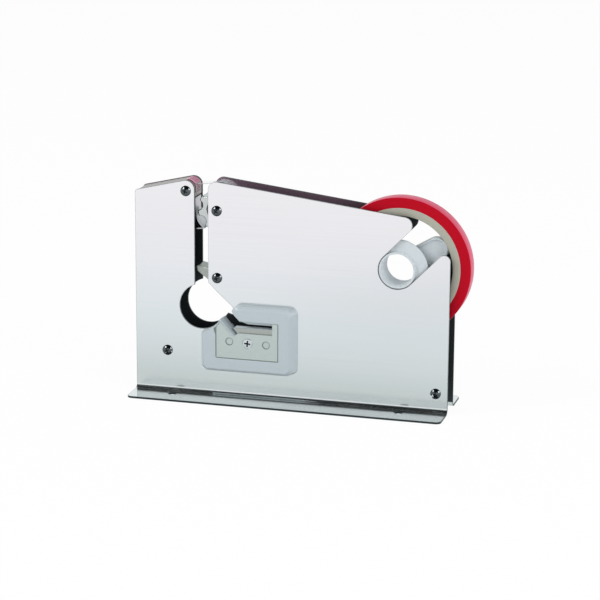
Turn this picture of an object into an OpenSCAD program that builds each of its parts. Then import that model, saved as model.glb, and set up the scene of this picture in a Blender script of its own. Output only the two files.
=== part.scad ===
// Counter-top bag neck sealer: two bent steel side plates that carry a roll of tape, a star wheel,
// a sprung cheek, a blade lever and a trimmer for the bag's waste end.
// Origin: centre of the four base screw holes, at the underside. +X to the tape roll, -Y to the user.

/* [Side plates] */
// Length of the side plates
plate_l = 237; // [230:1:250]
// Distance from the left end of the plates to the origin
left_x = 117; // [114:1:120]
// Thickness of the sheet
sheet_t = 1.5; // [1.2:0.1:2]
// Clear gap between the side plates
gap_w = 18; // [16:0.5:18]
// Width over both base flanges
base_w = 70; // [66:1:76]
// Height of the post at its left end
post_left_h = 152.3; // [145:0.1:156]
// Height of the body at its left end
body_top_h = 162.4; // [160:0.1:166]
// Slope of the body's top edge
body_slope = 7; // [4:0.5:9]
// Diameter of the base screw holes
base_hole_d = 6; // [4:0.5:7]
// Base hole spacing along the plates
base_hole_x = 172; // [150:1:180]
// Base hole spacing across the plates
base_hole_y = 40; // [38:1:46]

/* [Neck slot] */
// Width of the neck slot
slot_w = 10.4; // [8:0.1:11]
// Diameter of the neck opening
neck_d = 33.7; // [30:0.1:36]
// Height of the neck opening's centre
neck_z = 67.5; // [66:0.1:70]

/* [Tape roll] */
// Bore of the roll's core
core_bore_d = 76.2; // [76.2:0.1:77]
// Outer diameter of the core
core_d = 87.8; // [84:0.1:90]
// Outer diameter of the wound tape
roll_d = 103; // [92:1:104]
// Width of the tape
tape_w = 12; // [9:1:12]
// Outer diameter of the hub's tube
hub_d = 27.2; // [26:0.1:27.4]

/* [Closing parts] */
// Tip radius of the star wheel
star_r = 15.6; // [14:0.1:16.5]
// Width of the star wheel
star_w = 14; // [12:0.5:15]
// Number of points on the star wheel
star_points = 8; // [6:1:8]

/* [Trimmer] */
// Depth of the trimmer block
block_t = 8; // [7:0.5:10]
// Height of the trimmer block
block_h = 50.1; // [49:0.1:54]

/* [Hidden] */
$fn = 96;
eps = 0.01;

// Sheet and gap
half_gap = gap_w / 2;
out_y = half_gap + sheet_t;
flange_w = base_w / 2 - out_y;
bend_in_r = 3;
bend_out_r = bend_in_r + sheet_t;
right_x = plate_l - left_x;
flange_corner_r = 4;

// Neck slot and opening
slot_x = -66.1;
slot_left = slot_x - slot_w / 2;
slot_right = slot_x + slot_w / 2;
neck_r = neck_d / 2;
post_slope = 13.3;
post_corner_r = 6.5;
body_corner_r = 6;

// Axes of the cross pieces, as [x, z]
post_top_at = [-77.9, 153.6];
post_foot_at = [-92.7, 32.1];
star_at = [-54.3, 140.1];
lever_at = [-54.1, 89.8];
corner_at = [111.1, 15.2];
screw_at = [post_top_at, post_foot_at, star_at, lever_at, corner_at];
spacer_r = 4;
axle_r = 3;
running_gap = 0.05;
loose_gap = 0.3;
thread_r = 1.95;
thread_l = 5;
screw_hole_r = 2.15;
screw_head_r = 3.95;
screw_head_h = 2.4;

// Roll hub: the tube stands in the two sloping slots, and the core turns on the three arms' ends
hub_at = [81, 104.9];
roll_at = [82.6, 106];
hub_slot_a = 45.7;
hub_slot_r = hub_d / 2 + 0.4;
hub_bore_r = 12;
hub_flange_r = 22.5;
hub_flange_t = 2;
hub_drum_r = 16;
hub_arm_a = 30;
hub_arm_r = 8.7;
hub_arm_t = 7;
hub_arm_lip = 1.6;
hub_arm_dish = 1.5;
hub_side_y = half_gap - loose_gap;
core_bore_r = core_bore_d / 2;
hub_arm_reach = core_bore_r - loose_gap - hub_arm_r;
core_r = core_d / 2;
roll_r = roll_d / 2;

// Tape guide and post cap
guide_r = 20.5;
guide_t = 1.2;
guide_cheek_t = 0.6;
guide_from_a = 40;
guide_to_a = 91;
lever_stop_at = [-35.7, 109.2];
lever_stop_r = 2;
cap_t = 1;
cap_skirt_z = 149;
cap_left_x = -115;
leaf_t = 0.8;
leaf_w = 14;
leaf_r = star_r + 1.7;
leaf_foot_z = 125;
leaf_top_z = 147.6;
leaf_tip_a = 233;

// Blade lever
finger_left = -70.8;
finger_top_z = 97.7;
finger_low_z = 93.5;
lever_arm_a = 60;
lever_arm_l = 30;
lever_arm_w = 8;
lever_w = 14;
lever_arm_step = 0.5;
lever_hub_r = 6.8;
lever_web_y = 0.8;
lever_channel = [2, 23];
spring_pocket_r = 5.4;
blade_t = 0.6;
blade_w = 14;
blade_reach = 10;
blade_teeth = 8;
tooth_h = 1.2;
blade_screw_y = 3.5;

// Trimmer
block_left = -64.4;
block_right = 7.8;
block_bottom = 21;
block_top = block_bottom + block_h;
block_bevel = 2;
block_draft = 2.6;
block_front_y = -out_y - block_t;
cover_t = 1.6;
cover_recess = 2;
cover_left = -52.8;
cover_right = -5.4;
cover_bottom = 31.5;
cover_top = 60;
cut_end_x = -9.8;
cut_blade_z = 55;
notch_z = 51.1;
lip_start = [-49.4, 60.8];
lip_end = [-39.1, 49.2];
lip_w = 1.5;
rim_w = 1.1;
bite_r = neck_r + 0.6;
block_upper_left = -41.2;
lobe_z = 53.8;
lobe_corner_r = 7;
ramp_run = 3.4;
ramp_tip_l = 4.6;
block_corner_r = 5;
trim_blade_t = 0.5;
cover_screw_at = [-28.7, 43.7];
dimple_at = [[-42.5, 44.5], [-14.5, 43.6]];
dimple_r = 2.7;
fixing_at = [[-57.5, 27], [0, 27], [0, 66]];
fixing_r = 1.45;
fixing_hole_r = 1.6;

// Tape path from the roll to the post
film_t = 0.3;
web_gap = 0.15;
web_guide_r = guide_r + web_gap + film_t / 2;
web_roll_r = roll_r + 0.4 + film_t / 2;
span = roll_at - star_at;
span_a = atan2(span[1], span[0]) - asin((web_guide_r + web_roll_r) / norm(span));
web_leave_a = span_a + 90;
cap_arc_x = slot_left - post_corner_r;
cap_arc_at = [cap_arc_x, post_top(cap_arc_x) - post_corner_r / cos(post_slope) - 0.2];
web_cap_r = post_corner_r + web_gap + film_t / 2;
web_sag = 0.9;

// Unit vector at angle a, and a point at radius r and angle a round c
function dir(a) = [cos(a), sin(a)];
function round_at(c, r, a) = c + r * dir(a);

// Height of the post's and the body's sloping top edges at x
function post_top(x) = post_left_h + (x + left_x) * tan(post_slope);
function body_top(x) = body_top_h - (x - slot_right) * tan(body_slope);

// The lip's upper end, carried on into the neck opening, with the lip moved right by run
function lip_point(run) = lip_start + [run, 0] + ramp_tip_l * unit(lip_start - lip_end);

// Corner i of a polygon: its fillet's tangent points, its centre, and whether it bulges out
function turn(p, q, s) = (q[0] - p[0]) * (s[1] - q[1]) - (q[1] - p[1]) * (s[0] - q[0]);
function unit(v) = v / norm(v);
function half_angle(p, q, s) = acos(unit(p - q) * unit(s - q)) / 2;
function xz(p) = [p[0], p[1]];
function fillet(p, q, s, r) =
    let (h = half_angle(p, q, s), reach = r / tan(h))
    [q + unit(p - q) * reach, q + unit(s - q) * reach, q + unit(unit(p - q) + unit(s - q)) * r / sin(h)];

// Flat outline with a true arc at each corner; points are [x, z, radius], counter-clockwise
module outline(points) {
    n = len(points);
    corners = [for (i = [0:n - 1]) [
        xz(points[(i + n - 1) % n]), xz(points[i]), xz(points[(i + 1) % n]), points[i][2]
    ]];
    flat = [for (c = corners) each c[3] > 0
        ? [fillet(c[0], c[1], c[2], c[3])[0], fillet(c[0], c[1], c[2], c[3])[1]]
        : [c[1]]];
    difference() {
        union() {
            polygon(flat);
            for (c = corners)
                if (c[3] > 0 && turn(c[0], c[1], c[2]) > 0)
                    translate(fillet(c[0], c[1], c[2], c[3])[2]) circle(c[3]);
        }
        for (c = corners)
            if (c[3] > 0 && turn(c[0], c[1], c[2]) < 0)
                translate(fillet(c[0], c[1], c[2], c[3])[2]) circle(c[3]);
    }
}

// Stands a flat X-Z shape up and gives it thickness from y0 to y1
module stand(y0, y1) {
    translate([0, y1, 0]) rotate([90, 0, 0]) linear_extrude(y1 - y0) children();
}

// Round bar along Y from y0 to y1
module bar_y(at, r, y0, y1) {
    translate([at[0], y1, at[1]]) rotate([90, 0, 0]) cylinder(h = y1 - y0, r = r);
}

// Bar with round ends between two points of the X-Z plane
module link_2d(p, q, w) {
    d = q - p;
    translate(p) circle(w / 2);
    translate(q) circle(w / 2);
    translate(p) rotate(atan2(d[1], d[0])) translate([0, -w / 2]) square([norm(d), w]);
}

// ---- side plates ----

// Upright outline of a plate, above the bend
module plate_outline() {
    slot_dir = dir(hub_slot_a);
    slot_side = hub_slot_r * dir(hub_slot_a + 90);
    upper = hub_at + slot_side;
    lower = hub_at - slot_side;
    top_meet = (body_top(upper[0]) - upper[1]) / (slot_dir[1] + slot_dir[0] * tan(body_slope));
    side_meet = (right_x - lower[0]) / slot_dir[0];
    difference() {
        outline([
            [-left_x, bend_out_r, 0],
            [right_x, bend_out_r, 0],
            concat(lower + slot_dir * side_meet, 4.5),
            concat(lower, 0),
            concat(upper, 0),
            concat(upper + slot_dir * top_meet, 6),
            [slot_right, body_top_h, body_corner_r],
            [slot_right, neck_z, 0],
            [slot_left, neck_z, 0],
            [slot_left, post_top(slot_left), post_corner_r],
            [-left_x, post_left_h, 2]
        ]);
        translate(hub_at) circle(hub_slot_r);
        translate([slot_x, neck_z]) circle(neck_r);
        neck_chamfer();
        for (at = screw_at) translate(at) circle(screw_hole_r);
    }
}

// Cuts the body's lower corner at 45 degrees, tangent to the neck opening
module neck_chamfer() {
    touch = round_at([slot_x, neck_z], neck_r, 45);
    translate(touch) rotate(45) translate([-neck_r, 0]) square([neck_r, 10.5]);
}

// Way from the neck opening towards the trimmer, in both plates
module plate_trim_way() {
    polygon([
        [slot_x + 6, neck_z - 6],
        round_at([slot_x, neck_z], neck_r, -32),
        [-38, cut_blade_z - 0.4],
        [cut_end_x + 0.8, cut_blade_z - 0.4],
        [cut_end_x + 0.8, 58.8],
        [-35.6, 60],
        [-43.2, 69.7],
        round_at([slot_x, neck_z], neck_r, 45),
        [slot_x + 6, neck_z + 6]
    ]);
}

// Plate on the user's side; the rear plate is its mirror image, without the cuts for the trimmer
module side_plate(has_trimmer) {
    stand(-out_y, -half_gap) difference() {
        plate_outline();
        plate_trim_way();
        if (has_trimmer) {
            lip_pocket(ramp_run - 0.3);
            for (at = fixing_at) translate(at) circle(fixing_hole_r);
        }
    }
    translate([-left_x, 0, 0]) rotate([90, 0, 90]) linear_extrude(plate_l) difference() {
        translate([-out_y - bend_in_r, bend_out_r]) circle(bend_out_r);
        translate([-out_y - bend_in_r, bend_out_r]) circle(bend_in_r);
        translate([-base_w, 0]) square([base_w - out_y - bend_in_r, base_w]);
        translate([-base_w, bend_out_r]) square([2 * base_w, base_w]);
    }
    difference() {
        flange();
        for (side = [-1, 1])
            translate([side * base_hole_x / 2, -base_hole_y / 2, -1])
                cylinder(h = sheet_t + 2, d = base_hole_d);
    }
}

module flange() {
    near = -base_w / 2;
    far = -out_y - bend_in_r;
    linear_extrude(sheet_t) outline([
        [-left_x, near, flange_corner_r],
        [right_x, near, flange_corner_r],
        [right_x, far, 0],
        [-left_x, far, 0]
    ]);
}

module front_side_plate() {
    color("gainsboro") side_plate(true);
}

module rear_side_plate() {
    color("gainsboro") mirror([0, 1, 0]) side_plate(false);
}

// ---- cross pieces and screws ----

// Bar between the plates, tapped at both ends
module tapped_bar(at, r) {
    difference() {
        bar_y(at, r, -half_gap, half_gap);
        bar_y(at, thread_r + running_gap, -half_gap - 1, -half_gap + thread_l + 0.5);
        bar_y(at, thread_r + running_gap, half_gap - thread_l - 0.5, half_gap + 1);
    }
}

module post_top_spacer() {
    color("silver") tapped_bar(post_top_at, spacer_r);
}

module post_foot_spacer() {
    color("silver") tapped_bar(post_foot_at, spacer_r);
}

module corner_spacer() {
    color("silver") tapped_bar(corner_at, spacer_r);
}

module star_wheel_axle() {
    color("silver") tapped_bar(star_at, axle_r);
}

module lever_axle() {
    color("silver") tapped_bar(lever_at, axle_r);
}

// Cross recess, cut into a head that faces +Z
module cross_recess(w, depth) {
    for (a = [0, 90]) rotate(a) translate([-w / 2, -w / 8, -depth]) cube([w, w / 4, 2 * depth]);
}

// Domed screw with its head's seat at z = 0 and its shank below
module domed_screw() {
    dome_r = (screw_head_r * screw_head_r + screw_head_h * screw_head_h) / (2 * screw_head_h);
    difference() {
        intersection() {
            cylinder(h = screw_head_h, r = screw_head_r);
            translate([0, 0, screw_head_h - dome_r]) sphere(dome_r);
        }
        translate([0, 0, screw_head_h]) cross_recess(3.6, 1.4);
    }
    translate([0, 0, -sheet_t - thread_l]) cylinder(h = sheet_t + thread_l + eps, r = thread_r);
}

module front_screws() {
    color("dimgray") for (at = screw_at)
        translate([at[0], -out_y, at[1]]) rotate([90, 0, 0]) domed_screw();
}

module rear_screws() {
    color("dimgray") for (at = screw_at)
        translate([at[0], out_y, at[1]]) rotate([-90, 0, 0]) domed_screw();
}

// ---- post cap, cheek and tape guide ----

// Sheet saddle over the post: two cheeks on the spacer, a sloping top and a short skirt to the slot
module post_cap() {
    inner_r = post_corner_r - 0.4;
    color("tan") {
        stand(-half_gap, half_gap) difference() {
            intersection() {
                outline([
                    [cap_left_x, cap_skirt_z, 0],
                    [slot_left - 0.4, cap_skirt_z, 0],
                    [slot_left - 0.4, post_top(slot_left) - 0.5, inner_r],
                    [cap_left_x, post_top(cap_left_x) - 0.4, 0]
                ]);
                translate([cap_left_x, cap_skirt_z]) square([60, 30]);
            }
            outline([
                [cap_left_x - 1, cap_skirt_z - 1, 0],
                [slot_left - 0.4 - cap_t, cap_skirt_z - 1, 0],
                [slot_left - 0.4 - cap_t, post_top(slot_left) - 0.5 - cap_t * 1.27, inner_r - cap_t],
                [cap_left_x - 1, post_top(cap_left_x - 1) - 0.4 - cap_t * 1.03, 0]
            ]);
        }
        for (side = [-1, 1]) stand_pair(side) difference() {
            outline([
                [-86, post_top_at[1] - 5.5, 3],
                [slot_left - 2, post_top_at[1] - 5.2, 1],
                [slot_left - 2, post_top(slot_left - 2) - 3, 4],
                [-86, post_top(-86) - 1, 0]
            ]);
            translate(post_top_at) circle(spacer_r + running_gap);
        }
    }
}

// Thin sheet against a plate's inner face, on the front (-1) or the rear (1) side
module stand_pair(side) {
    stand(side < 0 ? -half_gap : half_gap - guide_cheek_t, side < 0 ? -half_gap + guide_cheek_t : half_gap)
        children();
}

// Sprung cheek: an eye on the post's upper spacer, an upright, a shoe round the star wheel and a foot
module pressure_leaf() {
    eye_r = spacer_r + running_gap;
    face_x = star_at[0] - leaf_r;
    top = [face_x - leaf_t / 2, leaf_top_z];
    color("lightgray") stand(-leaf_w / 2, leaf_w / 2) difference() {
        union() {
            translate(post_top_at) circle(eye_r + leaf_t);
            link_2d(post_top_at + [0.5, -eye_r - leaf_t / 2 + 0.1], top, leaf_t);
            link_2d(top, [top[0], star_at[1]], leaf_t);
            intersection() {
                difference() {
                    translate(star_at) circle(leaf_r + leaf_t);
                    translate(star_at) circle(leaf_r);
                }
                polygon([star_at, star_at + [-40, 0], round_at(star_at, 40, 210), round_at(star_at, 40, leaf_tip_a)]);
            }
            link_2d(round_at(star_at, leaf_r + leaf_t / 2, leaf_tip_a), [slot_left - 1.6, leaf_foot_z], leaf_t);
        }
        translate(post_top_at) circle(eye_r);
    }
}

// Bent sheet over the star wheel that carries the tape; its cheeks are held by the wheel's axle
module tape_guide() {
    from = round_at(star_at, 40, guide_from_a);
    to = round_at(star_at, 40, guide_to_a);
    color("silver") {
        stand(-half_gap, half_gap) intersection() {
            difference() {
                translate(star_at) circle(guide_r);
                translate(star_at) circle(guide_r - guide_t);
            }
            polygon([star_at, from, round_at(star_at, 60, 70), to]);
        }
        for (side = [-1, 1]) stand_pair(side) difference() {
            union() {
                translate(star_at) circle(7);
                intersection() {
                    translate(star_at) circle(guide_r - guide_t / 2);
                    polygon([star_at, from, round_at(star_at, 60, 70), to]);
                }
                link_2d(star_at, lever_stop_at, 9);
            }
            translate(star_at) circle(axle_r + running_gap);
            translate(lever_stop_at) circle(lever_stop_r + running_gap);
        }
    }
}

module lever_stop() {
    color("silver") bar_y(lever_stop_at, lever_stop_r, -half_gap, half_gap);
}

// ---- star wheel ----

module star_wheel() {
    pocket_r = 3.9;
    pocket_a = 34.5;
    groove_t = 2;
    side_y = star_w / 2;
    color("whitesmoke") difference() {
        stand(-side_y, side_y) difference() {
            translate(star_at) circle(star_r);
            translate(star_at) circle(axle_r + running_gap);
            for (i = [0:star_points - 1])
                translate(round_at(star_at, star_r + 0.3, pocket_a + i * 360 / star_points)) circle(pocket_r);
        }
        for (y = [-side_y - eps, side_y - groove_t]) stand(y, y + groove_t + eps) difference() {
            translate(star_at) circle(8.6);
            translate(star_at) circle(5);
        }
    }
}

// ---- blade lever ----

// Places children in the lever's frame: X along the blade arm, Z out of its leading side
module on_lever_arm() {
    translate([lever_at[0], 0, lever_at[1]]) rotate([0, -lever_arm_a, 0]) children();
}

// Cast bell crank: a wedge finger across the slot and an arm that carries the blade
module blade_lever() {
    half_w = lever_w / 2;
    nose_cut = 0.9;
    color("lightslategray") difference() {
        union() {
            stand(-half_w, half_w) {
                polygon([
                    [finger_left + nose_cut, finger_top_z],
                    [finger_left, finger_top_z - nose_cut],
                    [finger_left, finger_low_z + nose_cut],
                    [finger_left + nose_cut, finger_low_z - nose_cut / 2],
                    [-58, 84.4],
                    [-52, 90],
                    [-53.2, 93.9]
                ]);
                translate(lever_at) circle(lever_hub_r);
            }
            on_lever_arm() translate([0, -half_w + lever_arm_step, -lever_arm_w / 2])
                cube([lever_arm_l, lever_w - 2 * lever_arm_step, lever_arm_w]);
        }
        bar_y(lever_at, axle_r + running_gap, -8, 8);
        bar_y(lever_at, spring_pocket_r, lever_web_y, 8);
        on_lever_arm() translate([lever_channel[0], lever_web_y, -lever_arm_w / 2 - 0.5])
            cube([lever_channel[1] - lever_channel[0], 8, lever_arm_w + 2.5]);
        for (y = [-blade_screw_y, blade_screw_y])
            on_lever_arm() translate([lever_arm_l - 5, y, 0]) rotate([0, 90, 0]) cylinder(h = 6, r = 1.05);
    }
}

// Serrated blade on the end of the lever's arm
module cutter_blade() {
    pitch = blade_w / blade_teeth;
    back = -lever_arm_w / 2;
    teeth = [for (i = [0:2 * blade_teeth])
        [blade_reach - (i % 2 == 0 ? tooth_h : 0), -blade_w / 2 + i * pitch / 2]];
    color("white") on_lever_arm() translate([lever_arm_l, 0, 0]) difference() {
        rotate([90, 0, 90]) linear_extrude(blade_t)
            polygon(concat([[blade_w / 2, back], [-blade_w / 2, back]], [for (p = teeth) [p[1], p[0]]]));
        for (y = [-blade_screw_y, blade_screw_y])
            translate([-1, y, 0]) rotate([0, 90, 0]) cylinder(h = 3, r = 1.1);
    }
}

module cutter_blade_screws() {
    color("dimgray") for (y = [-blade_screw_y, blade_screw_y])
        on_lever_arm() translate([lever_arm_l, y, 0]) rotate([0, 90, 0]) {
            translate([0, 0, blade_t]) cylinder(h = 1.1, r = 1.8);
            translate([0, 0, -4]) cylinder(h = 4 + blade_t + eps, r = 1);
        }
}

// Torsion spring on the lever's axle: a close-wound coil with a leg on the arm and one on the stop
module lever_spring() {
    wire = 0.9;
    coil_r = 4.05;
    from_y = 1.6;
    to_y = 8.2;
    color("darkgray") {
        stand(from_y, to_y) difference() {
            translate(lever_at) circle(coil_r + wire / 2);
            translate(lever_at) circle(coil_r - wire / 2);
        }
        stand(from_y, from_y + wire) link_2d(
            round_at(lever_at, coil_r, lever_arm_a + 90),
            round_at(lever_at, lever_channel[1] - 1.5, lever_arm_a) + 4.6 * dir(lever_arm_a + 90), wire);
        stand(to_y - wire, to_y) link_2d(
            round_at(lever_at, coil_r, -40),
            round_at(lever_stop_at, lever_stop_r + wire / 2 + 0.05, -40), wire);
    }
}

// ---- trimmer ----

module trimmer_housing() {
    $fn = 32;
    front_right = block_right - block_draft;
    floor_y = block_front_y + cover_recess;
    color("lightsteelblue") difference() {
        union() {
            hull() {
                stand(-out_y - eps, -out_y) block_upper(0, block_right);
                stand(block_front_y + block_bevel, block_front_y + block_bevel + eps)
                    block_upper(0, front_right);
                stand(block_front_y, block_front_y + eps)
                    block_upper(block_bevel, front_right - block_bevel);
            }
            hull() {
                stand(-out_y - eps, -out_y) block_lower(0, block_right);
                stand(block_front_y + block_bevel, block_front_y + block_bevel + eps)
                    block_lower(0, front_right);
                stand(block_front_y, block_front_y + eps)
                    block_lower(block_bevel, front_right - block_bevel);
            }
        }
        bar_y([slot_x, neck_z], bite_r, block_front_y - 1, -out_y + 1);
        stand(block_front_y - 1, -out_y + 1) block_trim_way();
        hull() {
            stand(block_front_y - 1, block_front_y) lip_pocket(0);
            stand(-out_y - eps, -out_y + 1) lip_pocket(ramp_run);
        }
        stand(block_front_y - 1, floor_y) cover_outline(0.2);
        stand(floor_y - eps, floor_y + trim_blade_t) trim_blade_outline(0.15);
        bar_y(cover_screw_at, 1.7, block_front_y, -out_y - 1.5);
        for (at = fixing_at) bar_y(at, fixing_r + running_gap, -out_y - 5.5, -out_y + 1);
    }
}

// Part of the block to the right of the way in and above it
module block_upper(inset, right) {
    outline([
        [block_upper_left + inset, block_bottom + inset, 0],
        [right, block_bottom + inset, block_corner_r],
        [right, block_top - inset, block_corner_r],
        [block_upper_left + inset, block_top - inset, block_corner_r]
    ]);
}

// Low part of the block, with the lobe to the left of the way in
module block_lower(inset, right) {
    outline([
        [block_left + inset, block_bottom + inset, block_corner_r],
        [right, block_bottom + inset, block_corner_r],
        [right, 60, 0],
        [-46.4, 62.5, 0],
        [block_left + inset, lobe_z - inset, lobe_corner_r]
    ]);
}

// Way in from the neck opening: a funnel that narrows to the cutting slot
module block_trim_way() {
    polygon([
        lip_point(ramp_run),
        lip_start + [ramp_run, 0],
        [-40.4, cut_blade_z],
        [cut_end_x, cut_blade_z + 0.2],
        [cut_end_x - 0.6, 58.2],
        [-29, 58.2],
        [-34.2, 59.8],
        [-41, 66.6],
        [-46, 71],
        [slot_x + 6, neck_z + 6]
    ]);
}

// Pocket under the lip; its left wall stands back by run, which makes the lip a ramp
module lip_pocket(run) {
    polygon([lip_point(run), lip_end + [run * 0.7, 0], [-36.6, 50.2], [-44.6, 65]]);
}

// Cover plate's outline without its notch; grow widens it for the recess
module cover_outline(grow) {
    rib = [lip_w - grow, 0];
    ramp = [1.2, 0];
    difference() {
        outline([
            [cover_left - grow, cover_bottom - grow, 0.8],
            [cover_right + grow, cover_bottom - grow, 0.8],
            [cover_right + grow, cover_top + grow, 0.8],
            [cover_left - 1.8 - grow, cover_top + grow, 0.8],
            [cover_left - 1.8 - grow, 53.6, 0],
            [cover_left - grow, 48.6, 0]
        ]);
        translate([slot_x, neck_z]) circle(bite_r + rim_w - grow);
        polygon([lip_start - rib + [-6, 9], lip_start - rib, lip_end - rib, lip_end + [0.4, -0.4],
            lip_end + ramp, lip_start + ramp, lip_start + ramp + [0, 9]]);
    }
}

// Notch over the blade, open at the top
module cover_notch() {
    polygon([
        [-60, 64], lip_start, lip_end, [-36.6, 50.2], [-35.8, notch_z], [cut_end_x, notch_z], [cut_end_x, 64]
    ]);
}

module trimmer_cover() {
    color("darkseagreen") difference() {
        stand(block_front_y + cover_recess - cover_t, block_front_y + cover_recess) difference() {
            cover_outline(0);
            cover_notch();
            translate(cover_screw_at) circle(2.2);
        }
        for (at = dimple_at)
            bar_y(at, dimple_r, block_front_y - 1, block_front_y + cover_recess - cover_t + 0.45);
        translate([cover_screw_at[0], block_front_y + cover_recess - cover_t, cover_screw_at[1]])
            rotate([-90, 0, 0]) translate([0, 0, -eps]) cylinder(h = 1.4, r1 = 4, r2 = 2.2);
    }
}

module trim_blade_outline(grow) {
    polygon([
        [-36.4 - grow, 40 - grow],
        [cut_end_x + 3 + grow, 40 - grow],
        [cut_end_x + 3 + grow, cut_blade_z + grow],
        [-40 - grow, cut_blade_z - 0.4 + grow],
        [-36.4 - grow, notch_z - 0.6]
    ]);
}

module trimmer_blade() {
    floor_y = block_front_y + cover_recess;
    color("white") difference() {
        stand(floor_y, floor_y + trim_blade_t) trim_blade_outline(0);
        bar_y(cover_screw_at, 1.9, floor_y - 1, floor_y + 1);
    }
}

module trimmer_cover_screw() {
    face_y = block_front_y + cover_recess - cover_t;
    color("silver") translate([cover_screw_at[0], face_y, cover_screw_at[1]]) rotate([90, 0, 0]) difference() {
        union() {
            translate([0, 0, -1.3]) cylinder(h = 1.3, r1 = 2, r2 = 3.6);
            translate([0, 0, -6]) cylinder(h = 4.8, r = 1.6);
        }
        cross_recess(4.4, 0.9);
    }
}

module trimmer_fixing_screws() {
    color("dimgray") for (at = fixing_at) {
        bar_y(at, 3, -half_gap, -half_gap + 1.6);
        bar_y(at, fixing_r, -out_y - 5, -half_gap + eps);
    }
}

// ---- roll hub and roll ----

// Arm i, from the hub's axis to the core
module hub_arm(i, w) {
    link_2d(hub_at, round_at(roll_at, hub_arm_reach, hub_arm_a + i * 120), w);
}

// Moulded hub: a tube with a flange in front, a thick shoulder and three dished arms that hold the core
module roll_hub() {
    color("lavender") difference() {
        union() {
            bar_y(hub_at, hub_d / 2, -out_y, out_y);
            bar_y(hub_at, hub_drum_r, -hub_side_y, hub_side_y);
            bar_y(hub_at, hub_flange_r, -hub_side_y, -hub_side_y + hub_flange_t);
            stand(-hub_arm_t / 2, hub_arm_t / 2)
                for (i = [0:2]) hub_arm(i, 2 * hub_arm_r);
        }
        bar_y(hub_at, hub_bore_r, -out_y - 1, out_y + 1);
        for (y = [-hub_arm_t / 2 - 1, hub_arm_t / 2 - hub_arm_dish])
            stand(y, y + 1 + hub_arm_dish) difference() {
                for (i = [0:2]) hub_arm(i, 2 * (hub_arm_r - hub_arm_lip));
                translate(hub_at) circle(hub_drum_r + 1);
            }
    }
}

module tape_core() {
    color("tan") difference() {
        bar_y(roll_at, core_r, -tape_w / 2, tape_w / 2);
        bar_y(roll_at, core_bore_r, -tape_w, tape_w);
    }
}

module tape_winding() {
    color("crimson") difference() {
        bar_y(roll_at, roll_r, -tape_w / 2, tape_w / 2);
        bar_y(roll_at, core_r, -tape_w, tape_w);
    }
}

// Tape from the roll's underside, up over the guide, across the slot and onto the post's corner
function web_line() = concat(
    [round_at(roll_at, web_roll_r, span_a - 90)],
    [for (i = [0:8]) round_at(star_at, web_guide_r, web_leave_a + i * (93 - web_leave_a) / 8)],
    web_slot(round_at(star_at, web_guide_r, 93), round_at(cap_arc_at, web_cap_r, 60)),
    [for (a = [66:6:102]) round_at(cap_arc_at, web_cap_r, a)]
);
function web_slot(p, q) =
    [for (i = [1:7]) p + (q - p) * i / 7 - [0, web_sag * 4 * (i / 7) * (1 - i / 7)]];
function web_side(line, off) = [for (i = [0:len(line) - 1])
    let (a = line[max(i - 1, 0)], b = line[min(i + 1, len(line) - 1)], d = unit(b - a))
    line[i] + off * [-d[1], d[0]]];

module tape_web() {
    line = web_line();
    below = web_side(line, film_t / 2);
    above = web_side(line, -film_t / 2);
    color("crimson") stand(-tape_w / 2, tape_w / 2)
        polygon(concat(below, [for (i = [len(above) - 1:-1:0]) above[i]]));
}

front_side_plate();
rear_side_plate();
post_top_spacer();
post_foot_spacer();
corner_spacer();
star_wheel_axle();
lever_axle();
front_screws();
rear_screws();
post_cap();
tape_guide();
lever_stop();
star_wheel();
pressure_leaf();
blade_lever();
cutter_blade();
cutter_blade_screws();
lever_spring();
trimmer_housing();
trimmer_cover();
trimmer_blade();
trimmer_cover_screw();
trimmer_fixing_screws();
roll_hub();
tape_core();
tape_winding();
tape_web();
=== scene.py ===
import math

import bmesh
import bpy
from mathutils import Matrix, Vector


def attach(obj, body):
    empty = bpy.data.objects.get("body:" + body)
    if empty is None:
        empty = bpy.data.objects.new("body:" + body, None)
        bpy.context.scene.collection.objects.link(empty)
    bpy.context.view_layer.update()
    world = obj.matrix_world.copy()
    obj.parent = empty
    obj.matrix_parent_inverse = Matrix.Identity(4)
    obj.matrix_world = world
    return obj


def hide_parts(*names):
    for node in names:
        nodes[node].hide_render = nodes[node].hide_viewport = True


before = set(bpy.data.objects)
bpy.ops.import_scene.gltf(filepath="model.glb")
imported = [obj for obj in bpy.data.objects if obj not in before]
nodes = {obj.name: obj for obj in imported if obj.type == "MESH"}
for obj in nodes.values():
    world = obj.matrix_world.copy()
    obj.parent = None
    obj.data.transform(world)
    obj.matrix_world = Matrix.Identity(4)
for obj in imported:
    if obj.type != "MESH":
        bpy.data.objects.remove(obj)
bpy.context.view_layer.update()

# ---- Camera ----
# A long lens a little to the right of the plates' face and above it, as far off as the catalogue view.
CAMERA_AIM = Vector((0.00607, -0.0105, 0.07605))
CAMERA_TURN, CAMERA_RISE, CAMERA_ROLL = (math.radians(a) for a in (15.3, 14.5, 0.33))
CAMERA_DISTANCE = 1.7223
FOCAL_PX, FRAME_PX, SENSOR_MM = 2364, 600, 36
LENS_CENTRE_PX = (296.0, 302.1)

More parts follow.
